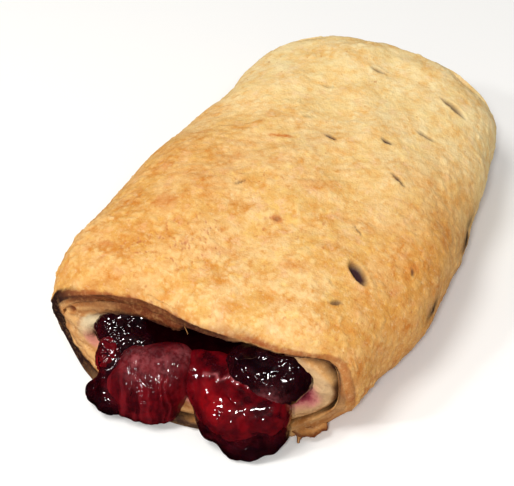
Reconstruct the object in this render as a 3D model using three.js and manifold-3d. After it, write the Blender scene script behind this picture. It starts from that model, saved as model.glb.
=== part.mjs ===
// A cherry sweet roll: a sheet of pastry rolled flat round a cherry filling and baked, open at both ends.
// Millimetres. X runs across the roll, +Y from the mouth to the far end, +Z up.
// The origin is on the flat underside, below the middle of the roll.
import * as THREE from "three";
import { mergeVertices } from "three/addons/utils/BufferGeometryUtils.js";
import Module from "manifold-3d";

const wasm = await Module();
wasm.setup();

const degree = Math.PI / 180;

// The roll's outside, at evenly spaced stations from the mouth to the far end
const rollLength = 99;
const halfWidths = [35.5, 36.4, 37.8, 37.5, 35.8, 33.6, 32.1, 31.3];
const heights = [25.9, 27.6, 28.9, 29.6, 28.9, 27.7, 26.7, 25.7];
const sideways = [-0.5, -1.6, -0.3, 0.4, 1.5, 1.2, 0.1, 0.1];
const waistHeight = 0.42;       // height of the widest line, as a share of the roll's height
const topSquareness = 2.6;      // exponent of the section above the widest line
const baseSquareness = 3.2;     // and below it
const baseSpread = 1.15;        // how far the lower half would reach if the table did not flatten it

// The edge of the pastry at the mouth: a tongue below, a straighter lip above
const edgeReach = 30.6;         // half the width over which the tongue curves back
const edgeHeight = 23.4;        // height at which the lip takes over from the tongue
const tongueOut = 9.4;
const tongueMiddle = -2.4;
const tongueSkew = 3.6;
const lipBack = 0.3;
const lipSkew = 2.6;
const lipWaves = [{ x: 3, out: 1.1, width: 10 }, { x: -13, out: -1.4, width: 9 }];
// Thin flakes that stick out of the tongue's lower edge
const flakeHeight = 4.5;
const flakes = [{ x: 23.8, out: 1.6, width: 1.6 }, { x: 28.4, out: 1.9, width: 2.0 }];

// The edge at the far end
const farTopOut = 1.6;
const farBow = 6.8;
const farSkew = 1.0;
const farReach = 32.4;

// The two turns of pastry
const wall = 8.4;
const wallShare = { right: 1.24, left: 1.08, top: 0.7, base: 0.92 };   // of that wall, on each side
const hollowSquareness = { right: 1.8, left: 3.2 };   // the hollow's right end is the pointed one
const turnThick = 3.3;          // the outer turn, on the left
const turnThin = 2.3;           // the outer turn, on the right
const gapOpen = 1.1;            // the open spiral gap between the turns on the right of the mouth
const gapShut = 0.35;
const gapDepth = 10;
const creaseDepth = 0.6;        // what is left of the gap where the turns are baked together
const gapFrom = -104 * degree;
const gapTo = 66 * degree;
const gapFade = 16 * degree;
const lipOverhang = 4.6;        // how far the lip stands out past the inner turn, at the top
const overhangAt = 66 * degree;
const overhangWidth = 36 * degree;
const rimRound = 1.1;           // the outer turn's edge
const innerRound = 1.3;         // the inner turn's edge, round the hollow
const faceBulge = 0.2;          // the cut faces stand out a little in their middle
const farTurn = 0.4;            // where the crease lies across the far end's face, as a share of the wall
const shoulderLength = 9;       // the roll narrows over this length at both ends
const mouthNarrowing = 1.9;
const farNarrowing = 2.0;

// Soft unevenness of the outer skin
const lumps = [
  { depth: 0.5, around: 3, along: 0.11, shift: 0.4 },
  { depth: 0.35, around: 5, along: -0.17, shift: 2.1 },
  { depth: 0.25, around: 8, along: 0.26, shift: 4.0 },
];
// The larger steam slits in the crust: place on top, length, width, depth, turn
const slits = [
  { x: 24.3, y: -24.3, long: 5.8, wide: 2.8, deep: 1.3, turn: -29 },
  { x: 23.7, y: -33.4, long: 3.6, wide: 2, deep: 0.6, turn: 42 },
  { x: 21.5, y: 34.9, long: 8.2, wide: 2.6, deep: 0.9, turn: -19 },
  { x: 20.3, y: 21.2, long: 5.6, wide: 2.4, deep: 0.6, turn: -1 },
  { x: 21.1, y: 3.2, long: 4.4, wide: 2.2, deep: 0.7, turn: -22 },
];

// Facets
const columns = 60;
const flattening = 0.52;        // spaces the columns evenly round the flat section
const outerRows = 24;
const innerRows = 5;
const roundRows = 3;
const fillingColumns = 28;
const fillingRows = 9;
const capShares = [0.3, 0.7];

const cutDetail = 3;            // of the swollen fruit that its neighbours are cut with
const touchGap = 0.45;

// The filling
const fillingGap = 1.15;        // to the wall, as the hollow's facets are flat
const fillingWave = 0.3;
const fillingBulge = 3;         // how far its face stands out in the middle
const fillingLow = 0.3;         // height of the face's middle, as a share of the hollow's
const slump = 5.4;              // how far the filling sinks below the ceiling at the mouth
const slumpLength = 20;
const farSlump = 4.0;
const faceBack = 3.5;           // the filling's own face behind the edge of the pastry
const farFaceBack = 3.0;

const crust = { colour: 0xd9a35a, roughness: 0.72 };
const syrup = { colour: 0x4a0710, roughness: 0.22 };
const redFruit = { colour: 0x8d0f1c, roughness: 0.2 };
const darkFruit = { colour: 0x2c060c, roughness: 0.18 };

function smooth(t) {
  const k = Math.min(Math.max(t, 0), 1);
  return k * k * (3 - 2 * k);
}

// A smooth curve through evenly spaced stations, with t from 0 to 1 along them
function through(stations, t) {
  const last = stations.length - 1;
  const place = Math.min(Math.max(t, 0), 1) * last;
  const i = Math.min(Math.floor(place), last - 1);
  const f = place - i;
  const b = stations[i];
  const c = stations[i + 1];
  const a = i > 0 ? stations[i - 1] : 2 * b - c;
  const d = i + 2 <= last ? stations[i + 2] : 2 * c - b;
  const linear = (c - a) * f;
  const square = (2 * a - 5 * b + 4 * c - d) * f * f;
  const cube = (3 * b - a - 3 * c + d) * f * f * f;
  return 0.5 * (2 * b + linear + square + cube);
}

// The roll's section at a place along it, a given depth in from its skin, and narrowed by shoulder
function section(angle, y, depth, shoulder = 0) {
  const t = y / rollLength + 0.5;
  const height = through(heights, t);
  const middle = waistHeight * height;
  const right = Math.cos(angle) >= 0;
  const up = Math.sin(angle) >= 0;
  const across = through(halfWidths, t) - depth * (right ? wallShare.right : wallShare.left) - shoulder;
  const above = height - middle - depth * wallShare.top - shoulder;
  const below = middle * baseSpread - depth * wallShare.base;
  const inward = Math.min(Math.max(depth / wall, 0), 1);
  const outerPower = up ? topSquareness : baseSquareness;
  const innerPower = right ? hollowSquareness.right : hollowSquareness.left;
  const power = outerPower + (innerPower - outerPower) * inward;
  const c = Math.abs(Math.cos(angle) / across) ** power;
  const s = Math.abs(Math.sin(angle) / (up ? above : below)) ** power;
  const reach = (c + s) ** (-1 / power);
  const x = through(sideways, t) + reach * Math.cos(angle);
  const z = Math.max(middle + reach * Math.sin(angle), depth * wallShare.base);
  return { x, z };
}

// Where the pastry ends at the mouth, for a place across and up
function mouthEdge(x, z) {
  const u = (x - tongueMiddle) / edgeReach;
  const tongue = -tongueOut * (1 - u * u) + (tongueSkew * x) / edgeReach;
  let lip = lipBack + (lipSkew * x) / edgeReach;
  for (const wave of lipWaves) {
    lip -= wave.out * Math.exp(-(((x - wave.x) / wave.width) ** 2));
  }
  let flake = 0;
  for (const { x: at, out, width } of flakes) {
    flake += out * Math.exp(-(((x - at) / width) ** 2)) * smooth(1 - z / flakeHeight);
  }
  return tongue + (lip - tongue) * smooth(z / edgeHeight) - flake - rollLength / 2;
}

function farEdge(x, z) {
  const bow = farBow * (x / farReach) ** 2;
  return rollLength / 2 + farTopOut * smooth(z / edgeHeight) - bow + (farSkew * x) / farReach;
}

// The turn from one angle to another, from -180 to 180 degrees
function turnBetween(angle, other) {
  return Math.atan2(Math.sin(angle - other), Math.cos(angle - other));
}

// 1 where the spiral gap is open, 0 where the turns are baked together
function gapAt(angle) {
  const a = turnBetween(angle, 0);
  return smooth((a - gapFrom) / gapFade) * smooth((gapTo - a) / gapFade);
}

function turnAt(angle) {
  return turnThick + (turnThin - turnThick) * smooth(0.5 + 0.7 * Math.cos(angle + 0.4));
}

// How far the inner turn's face lies behind the outer turn's
function innerBack(angle) {
  const top = Math.exp(-((turnBetween(angle, overhangAt) / overhangWidth) ** 4));
  return 0.7 + 0.5 * Math.max(Math.cos(angle), 0) + lipOverhang * top;
}

function unevenness(angle, y) {
  let sum = 0;
  for (const lump of lumps) {
    sum += lump.depth * Math.sin(lump.around * angle + lump.along * y + lump.shift);
  }
  return sum * smooth(0.6 + Math.sin(angle));
}

function slitDepth(x, y, z) {
  let sum = 0;
  for (const slit of slits) {
    const c = Math.cos(slit.turn * degree);
    const s = Math.sin(slit.turn * degree);
    const run = ((x - slit.x) * c + (y - slit.y) * s) / (slit.long / 2 + 1);
    const side = ((y - slit.y) * c - (x - slit.x) * s) / (slit.wide / 2 + 1);
    sum += slit.deep * Math.exp(-run * run - side * side);
  }
  return z > edgeHeight / 2 ? sum : 0;
}

// The angles of the columns, spread evenly round the section
function columnAngle(share) {
  const u = share * 360 * degree;
  return Math.atan2(flattening * Math.sin(u), Math.cos(u));
}

// A point of the wall: t is 0 at the mouth's edge and 1 at the far edge, back is the distance
// behind that edge, and depth is measured in from the outer skin
function wallPoint(angle, t, back, depth, skin) {
  const rough = section(angle, t < 0.5 ? -rollLength / 2 : rollLength / 2, depth, mouthNarrowing);
  const first = mouthEdge(rough.x, rough.z);
  const last = farEdge(rough.x, rough.z);
  const y = first + (last - first) * t + back;
  const fromMouth = Math.max(1 - (y - first) / shoulderLength, 0);
  const fromFar = Math.max(1 - (last - y) / shoulderLength, 0);
  const shoulder = mouthNarrowing * fromMouth ** 2 + farNarrowing * fromFar ** 2;
  let inset = depth;
  if (skin) {
    const flat = section(angle, y, depth, shoulder);
    inset += unevenness(angle, y) + slitDepth(flat.x, y, flat.z);
  }
  const { x, z } = section(angle, y, inset, shoulder);
  return [x, y, Math.max(z, Math.min(depth, 0))];
}

// The wall's closed profile at one angle: along the outer skin, over the far end, back along the
// inner skin, and over the mouth's two turns. grow swells the whole wall.
function wallProfile(angle, grow) {
  const inside = wall + grow;
  const open = gapAt(angle);
  const turn = turnAt(angle) + grow;
  const gap = gapShut + (gapOpen - gapShut) * open;
  const gapEnd = grow > 0 ? -grow : creaseDepth + (gapDepth - creaseDepth) * open;
  const inner = innerBack(angle) - grow;
  const farCrease = inside * farTurn;
  const rimStep = (90 * degree) / roundRows;
  const points = [];
  const add = (t, back, depth, skin = false) => points.push(wallPoint(angle, t, back, depth, skin));

  for (let k = 0; k <= outerRows; k += 1) {
    const t = k / outerRows;
    add(t, (rimRound - grow) * (1 - 2 * t), -grow, true);
  }
  for (let k = 1; k <= roundRows; k += 1) {
    const a = k * rimStep;
    add(1, grow - rimRound * (1 - Math.sin(a)), rimRound * (1 - Math.cos(a)) - grow);
  }
  add(1, grow - faceBulge, farCrease);
  add(1, grow - creaseDepth, farCrease + gapShut);
  add(1, grow - 2 * faceBulge, farCrease + 2 * gapShut);
  add(1, grow - 3 * faceBulge, inside - innerRound);
  for (let k = 0; k <= innerRows; k += 1) {
    const t = 1 - k / innerRows;
    add(t, (1.5 * innerRound - grow) * (1 - 2 * t) + (inner + grow) * (1 - t), inside);
  }
  add(0, inner, inside - innerRound / 2);
  add(0, inner - faceBulge, inside - 1.5 * innerRound);
  add(0, inner - 2 * faceBulge, (inside + turn + gap) / 2);
  add(0, inner, turn + gap + 0.5);
  add(0, inner + 2 * faceBulge, turn + gap);
  add(0, inner + gapEnd, turn + gap * 0.9);
  add(0, inner + gapEnd, turn + gap * 0.1);
  add(0, 2 * faceBulge - grow, turn);
  add(0, -grow, turn - 0.4);
  for (let k = roundRows - 1; k >= 1; k -= 1) {
    const a = k * rimStep;
    add(0, rimRound * (1 - Math.sin(a)) - grow, rimRound * (1 - Math.cos(a)) - grow);
  }
  return points;
}

// A mesh over a grid that closes on itself both ways
function ringGrid(rows) {
  const across = rows[0].length;
  const faces = [];
  for (let i = 0; i < rows.length; i += 1) {
    const next = (i + 1) % rows.length;
    for (let j = 0; j < across; j += 1) {
      const beside = (j + 1) % across;
      const a = i * across + j;
      const b = next * across + j;
      const c = next * across + beside;
      const d = i * across + beside;
      faces.push(a, c, b, a, d, c);
    }
  }
  return { points: rows.flat(), faces };
}

// A mesh over rings stacked from one end to the other, closed by a point at each end
function cappedGrid(first, rings, last) {
  const around = rings[0].length;
  const faces = [];
  const end = rings.length * around + 1;
  for (let j = 0; j < around; j += 1) {
    const beside = (j + 1) % around;
    faces.push(0, 1 + j, 1 + beside);
    faces.push(end, end - around + beside, end - around + j);
    for (let i = 0; i < rings.length - 1; i += 1) {
      const a = 1 + i * around + j;
      const b = 1 + i * around + beside;
      faces.push(a, b + around, b, a, a + around, b + around);
    }
  }
  return { points: [first, ...rings.flat(), last], faces };
}

function solid({ points, faces }) {
  const mesh = new wasm.Mesh({
    numProp: 3,
    vertProperties: new Float32Array(points.flat()),
    triVerts: new Uint32Array(faces),
  });
  return new wasm.Manifold(mesh);
}

function doughWrap(grow) {
  const rows = [];
  for (let i = 0; i < columns; i += 1) {
    rows.push(wallProfile(columnAngle(i / columns), grow));
  }
  return solid(ringGrid(rows));
}

// One ring of the filling's skin, drawn in to a share of its size where it closes over an end
function fillingRing(t, share) {
  const back = faceBack * (1 - t) - farFaceBack * t;
  const inside = wall + fillingGap;
  const ring = [];
  for (let i = 0; i < fillingColumns; i += 1) {
    const angle = columnAngle(i / fillingColumns);
    const y = wallPoint(angle, t, back, inside)[1];
    const nearMouth = 1 - smooth((y + rollLength / 2) / slumpLength);
    const nearFar = 1 - smooth((rollLength / 2 - y) / slumpLength);
    const sunk = (slump * nearMouth + farSlump * nearFar) * Math.max(Math.sin(angle), 0);
    const wave = fillingWave * Math.sin(3 * angle + 0.3 * y);
    const point = wallPoint(angle, t, back, inside + sunk + wave);
    const low = section(270 * degree, y, inside).z;
    const high = section(90 * degree, y, inside).z;
    const middle = [section(90 * degree, y, 0).x, point[1], low + (high - low) * fillingLow];
    const drawn = point.map((v, axis) => middle[axis] + (v - middle[axis]) * share);
    drawn[1] += (t < 0.5 ? -1 : 1) * fillingBulge * (1 - share * share);
    ring.push(drawn);
  }
  return ring;
}

function middleOf(ring) {
  const sum = ring.reduce((a, p) => a.map((v, axis) => v + p[axis]), [0, 0, 0]);
  return sum.map((v) => v / ring.length);
}

// The syrup and fruit inside, from one end to the other
function fillingCore() {
  const rings = capShares.map((share) => fillingRing(0, share));
  for (let k = 0; k <= fillingRows; k += 1) {
    rings.push(fillingRing(k / fillingRows, 1));
  }
  rings.push(...[...capShares].reverse().map((share) => fillingRing(1, share)));
  return solid(cappedGrid(middleOf(rings[0]), rings, middleOf(rings[rings.length - 1])));
}

// One soft cherry: a ball stretched, turned, flattened and creased
function cherry({ at, radii, turn = 0, lean = 0, creases = 3, crease = 0.06, detail = 5 }, grow) {
  const ball = new THREE.IcosahedronGeometry(1, grow > 0 ? cutDetail : detail);
  ball.deleteAttribute("normal");
  ball.deleteAttribute("uv");
  const merged = mergeVertices(ball, 1e-5);
  const place = new THREE.Matrix4().compose(
    new THREE.Vector3(...at),
    new THREE.Quaternion().setFromEuler(new THREE.Euler(lean * degree, 0, turn * degree, "ZYX")),
    new THREE.Vector3(radii[0] + grow, radii[1] + grow, radii[2] + grow),
  );
  const position = merged.getAttribute("position");
  const points = [];
  const p = new THREE.Vector3();
  for (let i = 0; i < position.count; i += 1) {
    p.fromBufferAttribute(position, i);
    const longitude = Math.atan2(p.z, p.y);
    const folds = Math.cos(creases * longitude + 2.2 * p.x + at[0]);
    const broad = Math.sin(3.1 * p.x + at[1]) * Math.sin(2.7 * p.z + at[2]);
    const dents = broad + 0.5 * Math.sin(5.3 * p.y + 4.1 * p.x);
    p.multiplyScalar(1 + crease * (folds * (1 - p.x * p.x) + dents));
    p.applyMatrix4(place);
    points.push([p.x, p.y, Math.max(p.z, -grow)]);
  }
  return solid({ points, faces: Array.from(merged.getIndex().array) });
}

// The largest piece left after cutting
function largest(shape) {
  const pieces = shape.decompose();
  pieces.sort((a, b) => b.volume() - a.volume());
  return pieces[0];
}

function meshOf(name, shape, look) {
  const { vertProperties, triVerts } = shape.getMesh();
  const geometry = new THREE.BufferGeometry();
  geometry.setAttribute("position", new THREE.BufferAttribute(vertProperties, 3));
  geometry.setIndex(new THREE.BufferAttribute(triVerts, 1));
  geometry.computeVertexNormals();
  const material = new THREE.MeshStandardMaterial({
    color: look.colour,
    roughness: look.roughness,
    metalness: 0,
  });
  const mesh = new THREE.Mesh(geometry, material);
  mesh.name = name;
  return mesh;
}

// The fruit that shows at the mouth, and at the far end
const mouthAt = -rollLength / 2;
const farAt = rollLength / 2;
const cherries = {
  cherry_left: {
    at: [-8.2, mouthAt - 8.8, 9.6],
    radii: [10.2, 7.6, 7.2],
    turn: 24,
    creases: 5,
    crease: 0.05,
    look: redFruit,
  },
  cherry_left_lobe: {
    at: [-14.8, mouthAt - 12.0, 4.4],
    radii: [5.2, 4.4, 4.0],
    detail: 3,
    look: darkFruit,
  },
  cherry_left_bit: {
    at: [-18.4, mouthAt - 4.8, 10.2],
    radii: [3.6, 4.6, 4.6],
    detail: 3,
    look: redFruit,
  },
  cherry_left_back: {
    at: [-18.6, mouthAt + 3.6, 13.2],
    radii: [6.4, 6.4, 5.4],
    detail: 3,
    look: darkFruit,
  },
  cherry_right: {
    at: [11.6, mouthAt - 4.2, 10.2],
    radii: [10.2, 8.2, 6.8],
    turn: 12,
    lean: 14,
    creases: 3,
    crease: 0.045,
    look: redFruit,
  },
  cherry_right_low: {
    at: [15.0, mouthAt - 6.4, 3.9],
    radii: [8.8, 5.6, 4.1],
    turn: 22,
    crease: 0.04,
    detail: 4,
    look: darkFruit,
  },
  cherry_right_dark: {
    at: [15.6, mouthAt + 5.4, 14.0],
    radii: [9.2, 7.4, 6.2],
    creases: 7,
    crease: 0.05,
    detail: 4,
    look: darkFruit,
  },
  cherry_far_left: {
    at: [-11.5, farAt - 3.0, 12.0],
    radii: [8.6, 6.6, 5.8],
    turn: -14,
    detail: 3,
    look: darkFruit,
  },
  cherry_far_right: {
    at: [8.5, farAt - 2.2, 11.8],
    radii: [9.0, 6.8, 5.6],
    turn: 10,
    detail: 3,
    look: redFruit,
  },
};

const roll = new THREE.Group();
roll.add(meshOf("dough_wrap", doughWrap(0), crust));

let taken = doughWrap(touchGap);
for (const [name, fruit] of Object.entries(cherries)) {
  roll.add(meshOf(name, largest(cherry(fruit, 0).subtract(taken)), fruit.look));
  taken = taken.add(cherry(fruit, touchGap));
}
roll.add(meshOf("cherry_filling", largest(fillingCore().subtract(taken)), syrup));

export default roll;
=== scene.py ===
# A cherry sweet roll: pastry rolled flat round a cherry filling, with the fruit coming out of its mouth
import math
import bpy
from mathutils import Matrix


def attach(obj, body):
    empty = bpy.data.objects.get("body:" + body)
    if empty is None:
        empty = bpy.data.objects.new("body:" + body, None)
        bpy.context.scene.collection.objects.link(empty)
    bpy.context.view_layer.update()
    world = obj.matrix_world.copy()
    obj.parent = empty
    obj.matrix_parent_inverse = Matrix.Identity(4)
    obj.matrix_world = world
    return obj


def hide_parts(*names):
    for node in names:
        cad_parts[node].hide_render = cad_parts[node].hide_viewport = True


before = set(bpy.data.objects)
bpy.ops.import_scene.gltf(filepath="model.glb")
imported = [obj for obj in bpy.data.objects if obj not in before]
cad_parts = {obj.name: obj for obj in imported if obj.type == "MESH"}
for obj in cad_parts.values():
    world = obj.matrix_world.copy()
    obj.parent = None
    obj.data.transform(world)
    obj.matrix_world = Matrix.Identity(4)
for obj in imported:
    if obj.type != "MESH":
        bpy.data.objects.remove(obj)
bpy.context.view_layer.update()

from types import SimpleNamespace

import bmesh
import bpy
import numpy as np
from mathutils import Euler, Vector, noise

mm = 0.001      # every size below is in millimetres


# Shared tools

def smooth(t):
    k = np.clip(t, 0, 1)
    return k * k * (3 - 2 * k)


def bump(value, middle, width):
    return np.exp(-(((value - middle) / width) ** 2))


def softNoise(points, size, shift=0.0):     # about -1 to 1, its bumps about size across
    places = points.reshape(-1, 3) / size + shift
    return np.array([noise.noise(p) for p in places]).reshape(points.shape[:-1])


def cells(points, size, shift=0.0):     # distance to the nearest seed and the next, a chance for each cell
    places = points.reshape(-1, 3) / size + shift
    near, far, chance = [], [], []
    for place in places:
        distances, seeds = noise.voronoi(place)
        near.append(distances[0])
        far.append(distances[1])
        chance.append(math.sin(seeds[0][0] * 12.99 + seeds[0][1] * 78.23 + seeds[0][2] * 37.72) * 437.58 % 1)
    shape = points.shape[:-1]
    return np.array(near).reshape(shape), np.array(far).reshape(shape), np.array(chance).reshape(shape)


def turned(x, y, degrees):                  # places measured along and across a line turned this far
    c, s = math.cos(math.radians(degrees)), math.sin(math.radians(degrees))
    return x * c + y * s, y * c - x * s


def colour(red, green, blue):               # screen values from 0 to 255, made linear
    def linear(value):
        c = value / 255
        return c / 12.92 if c <= 0.04045 else ((c + 0.055) / 1.055) ** 2.4
    return (linear(red), linear(green), linear(blue), 1)


def makePiece(name, points, faces, masks, material):
    mesh = bpy.data.meshes.new(name)
    mesh.from_pydata((points.reshape(-1, 3) * mm).tolist(), [], faces)
    mesh.polygons.foreach_set("use_smooth", [True] * len(mesh.polygons))
    for key, values in masks.items():
        layer = mesh.attributes.new(key, "FLOAT", "POINT")
        layer.data.foreach_set("value", np.clip(values, 0, 1).astype(np.float32).ravel())
    mesh.materials.append(material)
    mesh.update()
    piece = bpy.data.objects.new(name, mesh)
    bpy.context.scene.collection.objects.link(piece)
    return piece


def ringFaces(rows, columns, closed):       # quads over a grid whose columns close on themselves
    i = np.arange(rows if closed else rows - 1)[:, None]
    j = np.arange(columns)[None, :]
    below, beside = (i + 1) % rows, (j + 1) % columns
    corners = [i * columns + j, i * columns + beside, below * columns + beside, below * columns + j]
    quads = np.stack(corners, -1)
    return quads.reshape(-1, 4).tolist()


# Material tools

def newMaterial(name, **values):
    material = bpy.data.materials.new(name)
    material.use_nodes = True
    shader = material.node_tree.nodes["Principled BSDF"]
    for key, value in values.items():
        shader.inputs[key.replace("_", " ")].default_value = value
    return material, material.node_tree, shader


def feed(tree, socket, value):
    if isinstance(value, bpy.types.NodeSocket):
        tree.links.new(value, socket)
    else:
        socket.default_value = value


def mask(tree, name):
    node = tree.nodes.new("ShaderNodeAttribute")
    node.attribute_name = name
    return node.outputs["Fac"]


def grain(tree, size, detail=2.0, rough=0.5):      # noise from 0 to 1, its bumps about size mm
    place = tree.nodes.new("ShaderNodeTexCoord")
    node = tree.nodes.new("ShaderNodeTexNoise")
    node.inputs["Scale"].default_value = 1 / (size * mm)
    node.inputs["Detail"].default_value = detail
    node.inputs["Roughness"].default_value = rough
    tree.links.new(place.outputs["Object"], node.inputs["Vector"])
    return node.outputs["Fac"]


def maths(tree, operation, a, b=0.0, clamp=False):
    node = tree.nodes.new("ShaderNodeMath")
    node.operation = operation
    node.use_clamp = clamp
    feed(tree, node.inputs[0], a)
    feed(tree, node.inputs[1], b)
    return node.outputs[0]


def times(tree, a, b):
    return maths(tree, "MULTIPLY", a, b)


def span(tree, value, low, high, start=0.0, end=1.0):
    node = tree.nodes.new("ShaderNodeMapRange")
    node.interpolation_type = "SMOOTHSTEP"
    settings = {"Value": value, "From Min": low, "From Max": high, "To Min": start, "To Max": end}
    for key, item in settings.items():
        feed(tree, node.inputs[key], item)
    return node.outputs[0]


def mix(tree, factor, a, b, blend="MIX"):
    node = tree.nodes.new("ShaderNodeMix")
    node.data_type = "RGBA"
    node.blend_type = blend
    feed(tree, node.inputs[0], factor)
    feed(tree, node.inputs[6], a)
    feed(tree, node.inputs[7], b)
    return node.outputs[2]


def relief(tree, shader, height, depth):
    node = tree.nodes.new("ShaderNodeBump")
    node.inputs["Distance"].default_value = depth * mm
    feed(tree, node.inputs["Height"], height)
    tree.links.new(node.outputs["Normal"], shader.inputs["Normal"])
    return node


# The pastry

wrap = {
    "length": 99,
    "halfWidths": [35.5, 36.4, 37.8, 37.5, 35.8, 33.6, 32.1, 31.3],     # from the mouth to the far end
    "heights": [25.9, 27.6, 28.9, 29.6, 28.9, 27.7, 26.7, 25.7],
    "sideways": [-0.5, -1.6, -0.3, 0.4, 1.5, 1.2, 0.1, 0.1],
    "waist": 0.42, "topPower": 2.6, "basePower": 3.2, "baseSpread": 1.15,
    "tongueReach": 30.6, "tongueOut": 9.4, "tongueMiddle": -2.4, "tongueSkew": 3.6,
    "lipHeight": 23.4, "lipBack": 0.3, "lipSkew": 2.6,
    "lipWaves": [(3, 1.1, 10), (-13, -1.4, 9)],             # across, out, width
    "flakeHeight": 4.5, "flakes": [(23.8, 1.6, 1.6), (28.4, 1.9, 2.0)],
    "farTopOut": 1.6, "farBow": 6.8, "farSkew": 1.0, "farReach": 32.4,
    "wall": 8.4, "right": 1.24, "left": 1.08, "top": 0.7, "base": 0.92,
    "hollowRight": 1.8, "hollowLeft": 3.2,
    "turnThick": 3.3, "turnThin": 2.3,
    "edgeBacks": [(17, 3.3, 8), (-168, 2.6, 13)],           # at angle, how far, width
    "turnExtra": [(-10, 0.6, 12), (22, -1.0, 18)],
    "tuck": (1.4, 9, 15, 12, 14),           # right of the mouth: far, high, long, from where across, over
    "padding": (174, 2.6, 15, 14),          # the thick left wall: angle, more, width, reach
    "gapOpen": 1.0, "gapLeast": 0.08, "gapShut": 0.35, "gapDepth": 10, "creaseDepth": 0.6,
    "gapFrom": -104, "gapTo": 66, "gapFade": 16,
    "overhang": 4.6, "overhangAt": 66, "overhangWidth": 36,
    "innerLean": (0.1, 0.6, 0.5),           # the inner edge: everywhere, where the gap is open, at the right
    "leftLean": (-168, 2.4, 13),            # and at the left: angle, how far, width
    "rimRound": 1.1, "innerRound": 1.3, "bulge": 0.2, "farTurn": 0.4,
    "shoulder": 9, "mouthNarrowing": 1.9, "farNarrowing": 2.0,
    "lumps": [                              # depth, bumps round the roll, bumps along it, shift
        (0.5, 3, 0.11, 0.4), (0.35, 5, -0.17, 2.1), (0.25, 8, 0.26, 4.0),
    ],
    "columns": {"top": 0.42, "side": 0.7, "under": 2.2},    # spacing round the roll
    "rows": {
        "skin": 232, "crowd": 1.22, "rim": 5, "far": 4, "hollow": 26, "inner": 15, "gap": 4, "outer": 6,
    },
}
halfLength = wrap["length"] / 2


def through(stations, t):                   # a smooth curve through evenly spaced stations
    s = np.array(stations, float)
    last = len(s) - 1
    place = np.clip(t, 0, 1) * last
    i = np.minimum(np.floor(place).astype(int), last - 1)
    f = place - i
    b, c = s[i], s[i + 1]
    a = np.where(i > 0, s[np.maximum(i - 1, 0)], 2 * b - c)
    d = np.where(i + 2 <= last, s[np.minimum(i + 2, last)], 2 * c - b)
    bend = (2 * a - 5 * b + 4 * c - d) * f**2 + (3 * b - a - 3 * c + d) * f**3
    return 0.5 * (2 * b + (c - a) * f + bend)


def section(angle, y, depth, shoulder=0.0):     # the roll's section, a depth in from its skin
    t = y / wrap["length"] + 0.5
    height = through(wrap["heights"], t)
    middle = wrap["waist"] * height
    cos, sin = np.cos(angle), np.sin(angle)
    share = np.where(cos >= 0, wrap["right"], wrap["left"])
    across = through(wrap["halfWidths"], t) - depth * share - shoulder
    above = height - middle - depth * wrap["top"] - shoulder
    below = middle * wrap["baseSpread"] - depth * wrap["base"]
    inward = np.clip(depth / wrap["wall"], 0, 1)
    outerPower = np.where(sin >= 0, wrap["topPower"], wrap["basePower"])
    innerPower = np.where(cos >= 0, wrap["hollowRight"], wrap["hollowLeft"])
    power = outerPower + (innerPower - outerPower) * inward
    upright = np.abs(sin / np.where(sin >= 0, above, below)) ** power
    reach = (np.abs(cos / across) ** power + upright) ** (-1 / power)
    x = through(wrap["sideways"], t) + reach * cos
    z = np.maximum(middle + reach * sin, depth * wrap["base"])
    return x, z


def mouthEdge(x, z):                        # the tongue below, the lip above
    u = (x - wrap["tongueMiddle"]) / wrap["tongueReach"]
    tongue = -wrap["tongueOut"] * (1 - u * u) + wrap["tongueSkew"] * x / wrap["tongueReach"]
    lip = wrap["lipBack"] + wrap["lipSkew"] * x / wrap["tongueReach"]
    for at, out, width in wrap["lipWaves"]:
        lip = lip - out * bump(x, at, width)
    flake = 0
    for at, out, width in wrap["flakes"]:
        flake = flake + out * bump(x, at, width) * smooth(1 - z / wrap["flakeHeight"])
    return tongue + (lip - tongue) * smooth(z / wrap["lipHeight"]) - flake - halfLength


def farEdge(x, z):
    bow = wrap["farBow"] * (x / wrap["farReach"]) ** 2
    top = wrap["farTopOut"] * smooth(z / wrap["lipHeight"])
    return halfLength + top - bow + wrap["farSkew"] * x / wrap["farReach"]


def turnFrom(angle, degrees):               # how far an angle is from another, in degrees
    other = math.radians(degrees)
    return np.degrees(np.arctan2(np.sin(angle - other), np.cos(angle - other)))


def gapAt(angle):                           # 1 where the spiral gap is open
    a = turnFrom(angle, 0)
    return smooth((a - wrap["gapFrom"]) / wrap["gapFade"]) * smooth((wrap["gapTo"] - a) / wrap["gapFade"])


def edgeBack(angle):                        # where the outer turn's edge is baked back from the inner one
    return sum(far * bump(turnFrom(angle, at), 0, wide) for at, far, wide in wrap["edgeBacks"])


def turnAt(angle):                          # thickness of the outer turn
    thin = smooth(0.5 + 0.7 * np.cos(angle + 0.4))
    extra = sum(more * bump(turnFrom(angle, at), 0, wide) for at, more, wide in wrap["turnExtra"])
    return wrap["turnThick"] + (wrap["turnThin"] - wrap["turnThick"]) * thin + extra


def innerBack(angle):                       # how far the inner turn lies behind the tongue and the lip
    off = turnFrom(angle, wrap["overhangAt"])
    least, opened, right = wrap["innerLean"]
    at, far, wide = wrap["leftLean"]
    lean = least + opened * gapAt(angle) + right * np.maximum(np.cos(angle), 0)
    lean = lean + far * bump(turnFrom(angle, at), 0, wide)
    return lean + wrap["overhang"] * np.exp(-((off / wrap["overhangWidth"]) ** 4))


def unevenness(angle, y):
    total = 0
    for depth, around, along, shift in wrap["lumps"]:
        total = total + depth * np.sin(around * angle + along * y + shift)
    return total * smooth(0.6 + np.sin(angle))


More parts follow.
